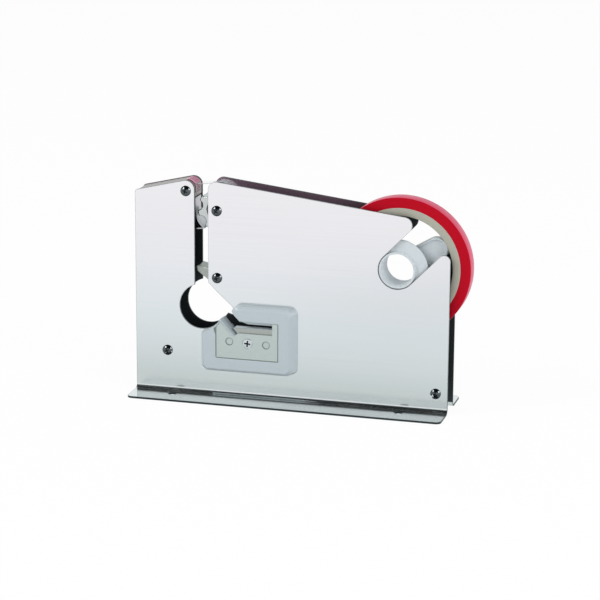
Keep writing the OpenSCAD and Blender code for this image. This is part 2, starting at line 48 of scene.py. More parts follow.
camera_data = bpy.data.cameras.new("camera")
camera_data.sensor_width = SENSOR_MM
camera_data.lens = FOCAL_PX / FRAME_PX * SENSOR_MM
camera_data.shift_x = (FRAME_PX / 2 - LENS_CENTRE_PX[0]) / FRAME_PX
camera_data.shift_y = (LENS_CENTRE_PX[1] - FRAME_PX / 2) / FRAME_PX
camera_data.clip_end = 20
camera = bpy.data.objects.new("camera", camera_data)
bpy.context.scene.collection.objects.link(camera)
back = Vector(
    (
        math.sin(CAMERA_TURN) * math.cos(CAMERA_RISE),
        -math.cos(CAMERA_TURN) * math.cos(CAMERA_RISE),
        math.sin(CAMERA_RISE),
    )
)
level_right = Vector((math.cos(CAMERA_TURN), math.sin(CAMERA_TURN), 0))
level_up = back.cross(level_right)
right = level_right * math.cos(CAMERA_ROLL) + level_up * math.sin(CAMERA_ROLL)
turn = Matrix((right, back.cross(right), back)).transposed().to_4x4()
camera.matrix_world = Matrix.Translation(CAMERA_AIM + back * CAMERA_DISTANCE) @ turn
bpy.context.scene.camera = camera
bpy.context.scene.view_settings.view_transform = "Standard"


# ---- Floor and light ----
# A sheet of white studio paper under a white horizon that darkens overhead, with two soft boxes.
# The paper is white to the eye; to polished steel it shows painted shade, grey-green near the plates.
def linear(hex_colour):
    """Turns a written sRGB colour into the linear colour that Blender works in."""
    parts = [int(hex_colour[i : i + 2], 16) / 255 for i in (1, 3, 5)]
    return tuple(c / 12.92 if c <= 0.04045 else ((c + 0.055) / 1.055) ** 2.4 for c in parts) + (1,)


def add_node(tree, kind, settings=None, **inputs):
    """Adds one node: settings are its own fields; inputs are values, or sockets to link from."""
    node = tree.nodes.new(kind)
    for field, value in (settings or {}).items():
        setattr(node, field, value)
    for name, value in inputs.items():
        socket = node.inputs[int(name[1:])] if name[1:].isdigit() else node.inputs[name.replace("_", " ")]
        if isinstance(value, bpy.types.NodeSocket):
            tree.links.new(value, socket)
        else:
            socket.default_value = value
    return node


def fill_ramp(ramp_node, stops):
    """Sets a colour ramp's stops from (place, colour) pairs."""
    ramp = ramp_node.color_ramp
    while len(ramp.elements) < len(stops):
        ramp.elements.new(0.5)
    for element, (place, colour) in zip(ramp.elements, stops):
        element.position = place
        element.color = linear(colour)
    return ramp_node.outputs["Color"]


def either(tree, *sockets):
    """1 where any of the given masks is 1."""
    result = sockets[0]
    for socket in sockets[1:]:
        result = add_node(tree, "ShaderNodeMath", {"operation": "MAXIMUM"}, _0=result, _1=socket).outputs[0]
    return result


PAPER = "#F7F7F7"
PAPER_REACH = 3.0
# Share of the paper's tone that is white by itself; the rest is lit, so it keeps the sealer's shadow
PAPER_GLOW = 0.94
# Painted shade on the paper, seen only in polished metal: its tone against the distance from the plates,
# over this range in metres
TONES_FROM, TONES_TO = 0.06, 0.62
PAINTED_PAPER_SHADE = [(0, "#D0D9D8"), (0.1, "#DCE3E6"), (0.3, "#EAF1F4"), (0.6, "#F8F8FD"), (1, "#FFFBFF")]
# A soft patch of painted shade on the paper, shown in the right half of the front plate: place and reach
DIM_AT, DIM_REACH, DIM_TO = (0.05, -0.34, 0), 0.24, 0.9
# Tone of the sky that polished metal shows, against the sine of its height; behind the sealer the
# white wall goes further up, so there the sine is scaled down
BEHIND_SCALE = 0.45
SKY_TONES = [
    (0, "#FFFFFF"),
    (0.1, "#F4F8F8"),
    (0.2, "#E3EAEB"),
    (0.34, "#DFE7E9"),
    (0.4, "#303638"),
    (1, "#14181A"),
]
SKY_LIGHT = 0.62

paper = bpy.data.materials.new("studio_paper")
paper.use_nodes = True
tree = paper.node_tree
tree.nodes.clear()
place = add_node(tree, "ShaderNodeNewGeometry").outputs["Position"]
apart = add_node(tree, "ShaderNodeSeparateXYZ", Vector=place)
away = add_node(tree, "ShaderNodeMath", {"operation": "ABSOLUTE"}, _0=apart.outputs["Y"])
away = add_node(tree, "ShaderNodeMapRange", Value=away.outputs[0], From_Min=TONES_FROM, From_Max=TONES_TO)
tone = fill_ramp(add_node(tree, "ShaderNodeValToRGB", Fac=away.outputs["Result"]), PAINTED_PAPER_SHADE)
from_dim = add_node(
    tree, "ShaderNodeVectorMath", {"operation": "DISTANCE"}, _0=place, _1=DIM_AT
).outputs["Value"]
painted_dim_patch = add_node(
    tree,
    "ShaderNodeMapRange",
    {"interpolation_type": "SMOOTHSTEP"},
    Value=from_dim,
    From_Max=DIM_REACH,
    To_Min=DIM_TO,
    To_Max=1.0,
)
path = add_node(tree, "ShaderNodeLightPath")
seen_white = add_node(tree, "ShaderNodeEmission", Color=(1, 1, 1, 1), Strength=1.0)
# Painted shade: glossy rays see the paper in these tones and dimmed, so polished metal shows it darker
seen_painted_shade = add_node(tree, "ShaderNodeEmission", Color=tone, Strength=painted_dim_patch.outputs[0])
shown = add_node(
    tree,
    "ShaderNodeMixShader",
    _0=path.outputs["Is Glossy Ray"],
    _1=seen_white.outputs[0],
    _2=seen_painted_shade.outputs[0],
)
matt = add_node(tree, "ShaderNodeBsdfDiffuse", Color=linear(PAPER))
looked_at = either(
    tree, path.outputs["Is Camera Ray"], path.outputs["Is Glossy Ray"], path.outputs["Is Transmission Ray"]
)
share = add_node(tree, "ShaderNodeMath", {"operation": "MULTIPLY"}, _0=looked_at, _1=PAPER_GLOW)
mixed = add_node(
    tree, "ShaderNodeMixShader", _0=share.outputs[0], _1=matt.outputs[0], _2=shown.outputs[0]
)
add_node(tree, "ShaderNodeOutputMaterial", Surface=mixed.outputs[0])

paper_mesh = bpy.data.meshes.new("floor")
paper_mesh.from_pydata(
    [(x * PAPER_REACH, y * PAPER_REACH, 0) for x, y in ((-1, -1), (1, -1), (1, 1), (-1, 1))],
    [],
    [(0, 1, 2, 3)],
)
paper_mesh.materials.append(paper)
floor = bpy.data.objects.new("floor", paper_mesh)
floor.location.z = -0.0002
bpy.context.scene.collection.objects.link(floor)

sky = bpy.data.worlds.new("studio")
sky.use_nodes = True
tree = sky.node_tree
tree.nodes.clear()
path = add_node(tree, "ShaderNodeLightPath")
looked_at = either(
    tree, path.outputs["Is Camera Ray"], path.outputs["Is Glossy Ray"], path.outputs["Is Transmission Ray"]
)
strength = add_node(tree, "ShaderNodeMapRange", Value=looked_at, To_Min=SKY_LIGHT, To_Max=1.0)
towards = add_node(tree, "ShaderNodeTexCoord").outputs["Generated"]
towards = add_node(tree, "ShaderNodeSeparateXYZ", Vector=towards).outputs
behind = add_node(
    tree, "ShaderNodeMapRange", Value=towards["Y"], From_Max=0.05, To_Min=1.0, To_Max=BEHIND_SCALE
)
height = add_node(tree, "ShaderNodeMath", {"operation": "MULTIPLY"}, _0=towards["Z"], _1=behind.outputs[0])
sky_tone = fill_ramp(add_node(tree, "ShaderNodeValToRGB", Fac=height.outputs[0]), SKY_TONES)
colour = add_node(
    tree,
    "ShaderNodeMix",
    {"data_type": "RGBA"},
    _0=path.outputs["Is Glossy Ray"],
    _6=(1, 1, 1, 1),
    _7=sky_tone,
)
background = add_node(
    tree, "ShaderNodeBackground", Color=colour.outputs["Result"], Strength=strength.outputs[0]
)
add_node(tree, "ShaderNodeOutputWorld", Surface=background.outputs[0])
bpy.context.scene.world = sky

# (name, place, size, watts): a key from the left above the user's shoulder and a fill from the right
SOFT_BOXES = [
    ("key_box", (-1.7, -1.2, 1.5), 0.9, 24),
    ("fill_box", (1.6, -0.8, 0.9), 0.8, 13),
]
for name, spot, size, watts in SOFT_BOXES:
    lamp = bpy.data.lights.new(name, "AREA")
    lamp.size = size
    lamp.energy = watts
    holder = bpy.data.objects.new(name, lamp)
    holder.location = spot
    holder.rotation_euler = (Vector(spot) - CAMERA_AIM).to_track_quat("Z", "Y").to_euler()
    bpy.context.scene.collection.objects.link(holder)


# ---- Side plates ----
# Two stainless steel sheets of 1.5 mm, blanked with their slots and openings and bent at the foot.
# Polished steel: it mirrors the paper softly through a fine lengthwise grain. The blanked edges are
# dull and painted dark as shade; the inner faces keep the mill's matt finish, painted with shade and a
# reflection.
MM = 0.001
OUTER_FACE_Y, INNER_FACE_Y, SHEET_T = 10.5, 9.0, 1.5


def new_finish(name, **settings):
    """Starts a material with one surface shader and returns the material, its tree and shader."""
    finish = bpy.data.materials.new(name)
    finish.use_nodes = True
    surface = finish.node_tree.nodes["Principled BSDF"]
    for socket, value in settings.items():
        surface.inputs[socket.replace("_", " ")].default_value = value
    return finish, finish.node_tree, surface


def dress(finish, *names):
    """Gives carried-over CAD nodes their finish."""
    for name in names:
        mesh = nodes[name].data
        mesh.materials.clear()
        mesh.materials.append(finish)


def on_object(tree, stretch=(1, 1, 1), centre=(0, 0)):
    """Place on the piece in metres, from a centre in mm in X and Z, each axis multiplied by stretch."""
    place = add_node(tree, "ShaderNodeTexCoord").outputs["Object"]
    offset = (-centre[0] * MM * stretch[0], 0, -centre[1] * MM * stretch[2])
    return add_node(tree, "ShaderNodeMapping", Vector=place, Location=offset, Scale=stretch).outputs[0]


def blended(tree, share, colour_a, colour_b):
    """Colour between two written or linked ones."""
    ends = [linear(c) if isinstance(c, str) else c for c in (colour_a, colour_b)]
    mix = add_node(tree, "ShaderNodeMix", {"data_type": "RGBA"}, _0=share, _6=ends[0], _7=ends[1])
    return mix.outputs["Result"]


def compared(tree, value, how, limit):
    """1 where value is above (GREATER_THAN) or below (LESS_THAN) the limit."""
    return add_node(tree, "ShaderNodeMath", {"operation": how}, _0=value, _1=limit).outputs[0]


polished_sheet, tree, surface = new_finish("polished_stainless_sheet")
where = on_object(tree)
apart = add_node(tree, "ShaderNodeSeparateXYZ", Vector=where).outputs
facing = add_node(tree, "ShaderNodeTexCoord").outputs["Normal"]
facing = add_node(tree, "ShaderNodeSeparateXYZ", Vector=facing).outputs
out = add_node(tree, "ShaderNodeMath", {"operation": "ABSOLUTE"}, _0=apart["Y"]).outputs[0]
aside = [add_node(tree, "ShaderNodeMath", {"operation": "ABSOLUTE"}, _0=facing[i]).outputs[0] for i in "XYZ"]
inside = compared(tree, out, "LESS_THAN", (INNER_FACE_Y + 0.04) * MM)
in_sheet = compared(tree, out, "LESS_THAN", (OUTER_FACE_Y - 0.04) * MM)
through = compared(tree, aside[1], "LESS_THAN", 0.5)
upright_edge = add_node(tree, "ShaderNodeMath", {"operation": "MULTIPLY"}, _0=in_sheet, _1=through).outputs[0]
low = compared(tree, apart["Z"], "LESS_THAN", (SHEET_T - 0.04) * MM)
level = compared(tree, aside[2], "LESS_THAN", 0.5)
flange_edge = add_node(tree, "ShaderNodeMath", {"operation": "MULTIPLY"}, _0=low, _1=level).outputs[0]
blanked = either(tree, upright_edge, flange_edge, compared(tree, aside[0], "GREATER_THAN", 0.7))

# The grain is 0.05 mm wide in the real sheet; it is drawn 0.4 mm wide so that it shows.
grain = add_node(tree, "ShaderNodeTexNoise", Vector=on_object(tree, (12, 2500, 2500)), Scale=1.0, Detail=3.0)
smear = add_node(tree, "ShaderNodeTexNoise", Vector=where, Scale=28.0, Detail=2.0)
gloss = add_node(tree, "ShaderNodeMapRange", Value=smear.outputs["Fac"], To_Min=0.12, To_Max=0.2)
dull = add_node(tree, "ShaderNodeMapRange", Value=either(tree, inside, blanked), To_Min=0, To_Max=0.25)
roughness = add_node(tree, "ShaderNodeMath", {"operation": "ADD"}, _0=gloss.outputs[0], _1=dull.outputs[0])
tree.links.new(roughness.outputs[0], surface.inputs["Roughness"])
face_tone = blended(tree, grain.outputs["Fac"], "#E9EBEB", "#F1F3F3")
# Painted on the inner faces: a plum reflection of the tape near the top, on the neck's side,
# and dark shade elsewhere.
near_top = add_node(tree, "ShaderNodeMapRange", Value=apart["Z"], From_Min=125 * MM, From_Max=148 * MM)
near_neck = add_node(tree, "ShaderNodeMapRange", Value=apart["X"], From_Min=66 * MM, From_Max=30 * MM)
cast = add_node(
    tree, "ShaderNodeMath", {"operation": "MULTIPLY"}, _0=near_top.outputs[0], _1=near_neck.outputs[0]
)
inner_shade_and_tape_reflection = blended(tree, cast.outputs[0], "#3C4244", "#86707E")
# A dark line of painted shade, drawn 0.7 mm wide, runs on the faces along every blanked edge.
rounded = add_node(tree, "ShaderNodeBevel", Radius=0.7 * MM).outputs["Normal"]
true_normal = add_node(tree, "ShaderNodeNewGeometry").outputs["True Normal"]
match = add_node(tree, "ShaderNodeVectorMath", {"operation": "DOT_PRODUCT"}, _0=rounded, _1=true_normal)
edge_shade_line = add_node(
    tree, "ShaderNodeMapRange", Value=match.outputs["Value"], From_Min=0.999, From_Max=0.96, To_Max=0.85
)
face_tone = blended(tree, edge_shade_line.outputs[0], face_tone, "#6A7376")
# The blanked edges are painted dark as shade, over their dull finish.
tone = blended(tree, blanked, blended(tree, inside, face_tone, inner_shade_and_tape_reflection), "#3A4245")
tree.links.new(tone, surface.inputs["Base Color"])
metal = add_node(tree, "ShaderNodeMapRange", Value=inside, To_Min=1.0, To_Max=0.7)
tree.links.new(metal.outputs[0], surface.inputs["Metallic"])
relief = add_node(tree, "ShaderNodeBump", Height=grain.outputs["Fac"], Strength=0.012, Distance=0.2 * MM)
tree.links.new(relief.outputs[0], surface.inputs["Normal"])
dress(polished_sheet, "front_side_plate", "rear_side_plate")


# ---- Bars and axles ----
# Turned steel bars hold the plates apart and carry the wheel and the lever; a bent sheet guides the tape.
# Zinc-plated steel: a bright, slightly cloudy metal with fine lathe marks round the bars.
def grained(tree, surface, where, grain_mm, tones, gloss, relief_mm):
    """Gives a finish its uneven colour, gloss and fine relief from one noise of the given grain."""
    noise = add_node(tree, "ShaderNodeTexNoise", Vector=where, Scale=1 / (grain_mm * MM), Detail=3.0)
    noise = noise.outputs["Fac"]
    tree.links.new(blended(tree, noise, *tones), surface.inputs["Base Color"])
    roughness = add_node(
        tree, "ShaderNodeMapRange", Value=noise, From_Min=0.3, From_Max=0.7, To_Min=gloss[0], To_Max=gloss[1]
    )
    tree.links.new(roughness.outputs[0], surface.inputs["Roughness"])
    bump = add_node(tree, "ShaderNodeBump", Height=noise, Distance=relief_mm * MM)
    tree.links.new(bump.outputs[0], surface.inputs["Normal"])
    return noise


zinc, tree, surface = new_finish("zinc_plated_steel", Metallic=1.0)
grained(tree, surface, on_object(tree, (1, 4, 1)), 1.6, ("#AEB3B9", "#CFD3D6"), (0.24, 0.42), 0.01)
dress(
    zinc,
    "post_top_spacer",
    "post_foot_spacer",
    "corner_spacer",
    "star_wheel_axle",
    "lever_axle",
    "tape_guide",
    "lever_stop",
)


# ---- Domed screws ----
# Five screws a side go through the plates into the bars: M4 with a domed head and a cross recess.
# Black-chromed steel: nearly black, with the soft boxes as small bright patches on each dome.
def turned(profile, ring=False, steps=48):
    """Mesh turned about the Y axis from (radius, y) pairs in mm; a ring's profile closes on itself."""
    form = bmesh.new()
    rows = []
    for radius, y in profile:
        if radius == 0:
            rows.append([form.verts.new((0, y * MM, 0))] * steps)
            continue
        angles = [2 * math.pi * i / steps for i in range(steps)]
        ring_at = [(radius * MM * math.cos(a), y * MM, radius * MM * math.sin(a)) for a in angles]
        rows.append([form.verts.new(place) for place in ring_at])
    for one, other in zip(rows, rows[1:] + (rows[:1] if ring else [])):
        for i in range(steps):
            corners = (one[i], one[(i + 1) % steps], other[(i + 1) % steps], other[i])
            form.faces.new(list(dict.fromkeys(corners)))
    return as_mesh(form)


def as_mesh(form):
    """Closes a built form into a mesh with its faces outward."""
    bmesh.ops.recalc_face_normals(form, faces=form.faces)
    mesh = bpy.data.meshes.new("form")
    form.to_mesh(mesh)
    form.free()
    return mesh


def changed(mesh, *modifiers):
    """Mesh after modifiers, each given as (kind, settings)."""
    holder = bpy.data.objects.new("holder", mesh)
    bpy.context.scene.collection.objects.link(holder)
    for kind, settings in modifiers:
        modifier = holder.modifiers.new(kind.lower(), kind)
        for field, value in settings.items():
            setattr(modifier, field, value)
    result = bpy.data.meshes.new_from_object(holder.evaluated_get(bpy.context.evaluated_depsgraph_get()))
    bpy.data.objects.remove(holder)
    return result


def recessed(mesh, long, thick, top, floor, angles=(0, 90)):
    """Cuts a cross or slot with tapered walls into a head that faces -Y, its walls in a second finish."""
    # Empty slots let the cut carry the choice of finish; fit() fills them.
    for _ in range(2):
        mesh.materials.append(None)
    for angle in angles:
        form = bmesh.new()
        for y, shrink in ((top, 1.0), (floor, 0.62)):
            half = (long / 2 * shrink, thick / 2 * shrink)
            corners = ((-half[0], -half[1]), (half[0], -half[1]), (half[0], half[1]), (-half[0], half[1]))
            form.faces.new([form.verts.new((x * MM, y * MM, z * MM)) for x, z in corners])
        form.verts.ensure_lookup_table()
        for i in range(4):
            form.faces.new([form.verts[j] for j in (i, (i + 1) % 4, 4 + (i + 1) % 4, 4 + i)])
        for face in form.faces:
            face.material_index = 1
        bmesh.ops.rotate(form, verts=form.verts, matrix=Matrix.Rotation(math.radians(angle), 3, "Y"))
        cutter = bpy.data.objects.new("cutter", as_mesh(form))
        for _ in range(2):
            cutter.data.materials.append(None)
        bpy.context.scene.collection.objects.link(cutter)
        mesh = changed(mesh, ("BOOLEAN", {"operation": "DIFFERENCE", "object": cutter, "solver": "EXACT"}))
        bpy.data.objects.remove(cutter)
    return mesh


def gathered(mesh, places):
    """One mesh with the same piece at each place, given as matrices."""
    form = bmesh.new()
    for place in places:
        copy = mesh.copy()
        copy.transform(place)
        form.from_mesh(copy)
    return as_mesh(form)


def fit(mesh, name, finishes, body, slot, *replaced):
    """Puts a new piece on its CAD body in place of the nodes that it stands for."""
    mesh.polygons.foreach_set("use_smooth", [True] * len(mesh.polygons))
    mesh.set_sharp_from_angle(angle=math.radians(38))
    choices = [face.material_index for face in mesh.polygons]
    mesh.materials.clear()
    for finish in finishes:
        mesh.materials.append(finish)
    mesh.polygons.foreach_set("material_index", choices)
    piece = bpy.data.objects.new(name, mesh)
    bpy.context.scene.collection.objects.link(piece)
    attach(piece, body)
    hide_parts(*replaced)


SCREWS_AT = [(-77.9, 153.6), (-92.7, 32.1), (-54.3, 140.1), (-54.1, 89.8), (111.1, 15.2)]
SCREW_TURNS = [20, 65, 38, 80, 10]
HEAD_R, HEAD_H, DOME_R, THREAD_R, SCREW_L = 3.95, 2.4, 4.97, 1.95, 6.5

dome = [(r, DOME_R - HEAD_H - math.sqrt(DOME_R**2 - r**2)) for r in (0, 0.7, 1.4, 2.1, 2.7, 3.2, 3.5, 3.7)]
rim = [(3.87, -0.55), (HEAD_R, -0.32), (HEAD_R, -0.08), (3.87, 0), (THREAD_R, 0)]
shank = [(THREAD_R, SCREW_L - 0.4), (THREAD_R - 0.4, SCREW_L), (0, SCREW_L)]
domed_screw = recessed(turned(dome + rim + shank), 4.2, 1.0, -HEAD_H - 0.2, -0.9)

dark_chrome, tree, surface = new_finish("black_chromed_steel", Metallic=1.0)
grained(tree, surface, on_object(tree), 2.0, ("#54595B", "#6A6F71"), (0.1, 0.17), 0.003)
recess_dark, tree, surface = new_finish("shaded_screw_recess", Metallic=0.2)
grained(tree, surface, on_object(tree), 1.0, ("#151919", "#2E3434"), (0.45, 0.6), 0.01)
for name, body, side in (("front_domed_screws", "frame", 1), ("rear_domed_screws", "frame", -1)):
    places = [
        Matrix.Translation((x * MM, -side * OUTER_FACE_Y * MM, z * MM))
        @ Matrix.Rotation(0 if side > 0 else math.pi, 4, "Z")
        @ Matrix.Rotation(math.radians(angle), 4, "Y")
        for (x, z), angle in zip(SCREWS_AT, SCREW_TURNS)
    ]
    node = "front_screws" if side > 0 else "rear_screws"
    fit(gathered(domed_screw, places), name, (dark_chrome, recess_dark), body, "screw_steel", node)

# ---- Post cap ----
# A strip of sheet steel folded over the post's top, held by two cheeks on the upper bar.
# Satin steel with a brown-grey cast, rubbed a little brighter along its length.
cap_steel, tree, surface = new_finish("satin_formed_steel", Metallic=0.55)
grained(tree, surface, on_object(tree, (0.3, 1, 1)), 1.5, ("#93918D", "#ABA8A2"), (0.3, 0.42), 0.01)
dress(cap_steel, "post_cap")


# ---- Star wheel ----
# A die-cast wheel with eight round pockets, which the bag's neck turns on its way down.
# Nickel-plated casting: mirror-bright on the rounded lobes, with soft edges from the mould.
def softened(node, voxel_mm, rounds, keep):
    """Copy of a cast or moulded CAD node with its edges rounded as the mould leaves them."""
    return changed(
        nodes[node].data.copy(),
        ("REMESH", {"mode": "VOXEL", "voxel_size": voxel_mm * MM}),
        ("SMOOTH", {"factor": 0.5, "iterations": rounds}),
        ("DECIMATE", {"ratio": keep}),
        ("WEIGHTED_NORMAL", {"keep_sharp": False}),
    )


nickel, tree, surface = new_finish("nickel_plated_casting", Metallic=1.0)
grained(tree, surface, on_object(tree), 2.5, ("#B6BDBA", "#D6DCD9"), (0.1, 0.22), 0.01)
fit(softened("star_wheel", 0.4, 5, 0.4), "nickel_star_wheel", (nickel,), "star", "star_casting", "star_wheel")

# ---- Sprung cheek ----
# A strip of spring steel bent round the star wheel; it hangs on the post's upper bar.
# Hardened strip: satin along its length, with a straw-grey tone.
strip, tree, surface = new_finish("hardened_spring_strip", Metallic=1.0)
grained(tree, surface, on_object(tree, (1, 6, 1)), 1.8, ("#A9ACB0", "#C4C6C8"), (0.2, 0.32), 0.008)
dress(strip, "pressure_leaf")

# ---- Blade lever ----
# A cast bell crank: the wedge finger crosses the slot and its arm swings the toothed blade up.
# Tumbled zinc casting: a soft grey metal with rounded edges and a fine pebbled skin.
cast_zinc, tree, surface = new_finish("tumbled_zinc_casting", Metallic=0.6)
grained(tree, surface, on_object(tree), 0.9, ("#979D97", "#BCC2BA"), (0.26, 0.38), 0.02)
fit(
    softened("blade_lever", 0.3, 2, 0.4),
    "zinc_blade_lever",
    (cast_zinc,),
    "lever",
    "lever_casting",
    "blade_lever",
)

# Ground strip: bright, with grinding marks across the edge.
ground_steel, tree, surface = new_finish("ground_blade_steel", Metallic=1.0)
grained(tree, surface, on_object(tree, (8, 1, 1)), 1.5, ("#A6A9A3", "#C4C6C0"), (0.16, 0.28), 0.006)
dress(ground_steel, "cutter_blade", "trimmer_blade")

# Two small slotted screws hold the blade on the arm.
LEVER_AT, ARM_A, ARM_L, BLADE_SCREWS_Y = (-54.1, 89.8), 60, 30, (-3.5, 3.5)
small_head = [(0, -1.7), (1.2, -1.7), (1.65, -1.45), (1.8, -1.1), (1.8, -0.62)]
small_head += [(1.0, -0.6), (1.0, 4.0), (0, 4.0)]
blade_screw = recessed(turned(small_head, steps=32), 3.8, 0.5, -1.9, -1.2, angles=(0,))
on_arm = Matrix.Translation((LEVER_AT[0] * MM, 0, LEVER_AT[1] * MM)) @ Matrix.Rotation(
    math.radians(-ARM_A), 4, "Y"
)
places = [
    on_arm @ Matrix.Translation((ARM_L * MM, y * MM, 0)) @ Matrix.Rotation(math.pi / 2, 4, "Z")
    for y in BLADE_SCREWS_Y
]
fit(
    gathered(blade_screw, places),
    "blade_screws",
    (dark_chrome, recess_dark),
    "lever",
    "screw_steel",
    "cutter_blade_screws",
)


# ---- Lever spring ----
# A torsion spring of 0.9 mm wire wound on the lever's axle, one leg on the arm and one on the stop.
# Drawn spring wire: dark bright steel with a slight drawn line along it.
def wire(points, radius):
    """Mesh of a round wire through points in mm."""
    curve = bpy.data.curves.new("wire", "CURVE")
    curve.dimensions = "3D"
    curve.bevel_depth = radius * MM
    curve.bevel_resolution = 3
    curve.use_fill_caps = True
    spline = curve.splines.new("POLY")
    spline.points.add(len(points) - 1)
    for point, place in zip(spline.points, points):
        point.co = (*(c * MM for c in place), 1)
    return bpy.data.meshes.new_from_object(bpy.data.objects.new("wire", curve))


def round_at(centre, radius, degrees):
    """Point in X and Z at a radius and angle round a centre."""
    a = math.radians(degrees)
    return (centre[0] + radius * math.cos(a), centre[1] + radius * math.sin(a))


COIL_R, WIRE_R, COIL_FROM_Y, COIL_TO_Y, COIL_TURNS = 4.05, 0.45, 2.05, 7.75, 5
STOP_AT, STOP_R = (-35.7, 109.2), 2.0
along = round_at(LEVER_AT, 21.5, ARM_A)
arm_end = round_at(along, 4.6, ARM_A + 90)
stop_end = round_at(STOP_AT, STOP_R + WIRE_R + 0.05, -40)
sweep = 170 + 360 * COIL_TURNS
coil = []
for i in range(COIL_TURNS * 24 + 13):
    share = i / (COIL_TURNS * 24 + 12)
    x, z = round_at(LEVER_AT, COIL_R, 150 + sweep * share)
    coil.append((x, COIL_FROM_Y + (COIL_TO_Y - COIL_FROM_Y) * share, z))
line = [(arm_end[0], COIL_FROM_Y, arm_end[1])] + coil + [(stop_end[0], COIL_TO_Y, stop_end[1])]

spring_wire, tree, surface = new_finish("drawn_spring_wire", Metallic=1.0)
grained(tree, surface, on_object(tree), 1.2, ("#7E8386", "#A3A7A9"), (0.2, 0.32), 0.008)
fit(wire(line, WIRE_R), "torsion_spring", (spring_wire,), "frame", "spring_steel", "lever_spring")

# ---- Trimmer ----
# A moulded block beside the neck opening; its cover plate holds the blade that trims the neck's end.
# Moulded ABS: cool light grey with a fine eroded texture, and edges rounded by the mould.
moulded_grey, tree, surface = new_finish("moulded_grey_abs")
# The eroded texture is 0.1 mm fine; it is drawn at 0.6 mm so that it shows.
grained(tree, surface, on_object(tree), 0.6, ("#AAB6BB", "#BBC6CC"), (0.26, 0.38), 0.012)
fit(
    softened("trimmer_housing", 0.3, 1, 0.25),
    "moulded_trimmer_block",
    (moulded_grey,),
    "frame",
    "trimmer_plastic",
    "trimmer_housing",
)

# The cover is a satin plate of light alloy with a faint green cast, brushed along its length. A thin
# dark line of painted shade runs round its edge and round its two pressed dimples.
COVER_LEFT, COVER_RIGHT, COVER_LOW = -52.8, -5.4, 31.5
DIMPLES_AT, DIMPLE_R = [(-42.5, 44.5), (-14.5, 43.6)], 2.7
cover_alloy, tree, surface = new_finish("brushed_satin_alloy", Metallic=0.45)
grained(tree, surface, on_object(tree, (0.15, 1, 1)), 0.7, ("#B4BFBC", "#C7D1CE"), (0.34, 0.46), 0.012)
brushed = surface.inputs["Base Color"].links[0].from_socket
flat = add_node(tree, "ShaderNodeMapping", Vector=on_object(tree), Scale=(1, 0, 1)).outputs[0]
apart = add_node(tree, "ShaderNodeSeparateXYZ", Vector=flat).outputs
painted_edge_shade = [
    compared(tree, apart["X"], "LESS_THAN", (COVER_LEFT + 0.5) * MM),
    compared(tree, apart["X"], "GREATER_THAN", (COVER_RIGHT - 0.4) * MM),
    compared(tree, apart["Z"], "LESS_THAN", (COVER_LOW + 0.5) * MM),
]
for x, z in DIMPLES_AT:
    spot = add_node(
        tree, "ShaderNodeVectorMath", {"operation": "DISTANCE"}, _0=flat, _1=(x * MM, 0, z * MM)
    ).outputs["Value"]
    off = add_node(tree, "ShaderNodeMath", {"operation": "SUBTRACT"}, _0=spot, _1=DIMPLE_R * MM).outputs[0]
    off = add_node(tree, "ShaderNodeMath", {"operation": "ABSOLUTE"}, _0=off).outputs[0]
    painted_edge_shade.append(compared(tree, off, "LESS_THAN", 0.28 * MM))
# Painted shade: the cover's edge and the dimples' rims are darkened.
tone = blended(tree, either(tree, *painted_edge_shade), brushed, "#7F8985")
tree.links.new(tone, surface.inputs["Base Color"])
dress(cover_alloy, "trimmer_cover")

# Bright zinc: the cover's countersunk screw, with a deep cross recess.
COVER_SCREW_AT, COVER_FACE_Y = (-28.7, 43.7), 18.1
countersunk = [(0, -0.05), (3.2, -0.05), (3.5, 0), (3.6, 0.12), (2.0, 1.35), (1.6, 1.5), (1.6, 5.7), (0, 6.0)]
bright_zinc, tree, surface = new_finish("bright_zinc_plate", Metallic=1.0)
grained(tree, surface, on_object(tree), 1.5, ("#CFD8D8", "#E6EBEA"), (0.2, 0.34), 0.008)
places = [
    Matrix.Translation((COVER_SCREW_AT[0] * MM, -COVER_FACE_Y * MM, COVER_SCREW_AT[1] * MM))
    @ Matrix.Rotation(math.radians(5), 4, "Y")
]
cover_screw = recessed(turned(countersunk), 4.9, 1.15, -0.2, 1.5)
fit(
    gathered(cover_screw, places),
    "cover_screw",
    (bright_zinc, recess_dark),
    "frame",
    "cross_screw",
    "trimmer_cover_screw",
)

FIXINGS_AT = [(-57.5, 27), (0, 27), (0, 66)]
fixing_head = [(0, -1.6), (1.9, -1.6), (2.6, -1.3), (3.0, -0.7), (3.0, 0), (1.45, 0), (1.45, 6.2), (0, 6.5)]
fixing = recessed(turned(fixing_head, steps=32), 3.4, 0.8, -1.8, -0.6)
places = [
    Matrix.Translation((x * MM, -INNER_FACE_Y * MM, z * MM)) @ Matrix.Rotation(math.pi, 4, "Z")
    for x, z in FIXINGS_AT
]
fit(
    gathered(fixing, places),
    "fixing_screws",
    (dark_chrome, recess_dark),
    "frame",
    "screw_steel",
    "trimmer_fixing_screws",
)

# ---- Roll hub ----
# One moulding that lifts out of the sloping slots: a tube, a shoulder, a front flange and three arms.
# Moulded polypropylene: cool white, a little waxy, with fillets and rounded rims.
moulded_white, tree, surface = new_finish("moulded_white_polypropylene", Subsurface_Weight=0.05)
surface.inputs["Subsurface Radius"].default_value = (0.002, 0.002, 0.002)
grained(tree, surface, on_object(tree), 1.4, ("#BEC8CD", "#CED6DA"), (0.3, 0.44), 0.012)
hub = softened("roll_hub", 0.4, 5, 0.25)
fit(hub, "moulded_roll_hub", (moulded_white,), "hub", "hub_plastic", "roll_hub")

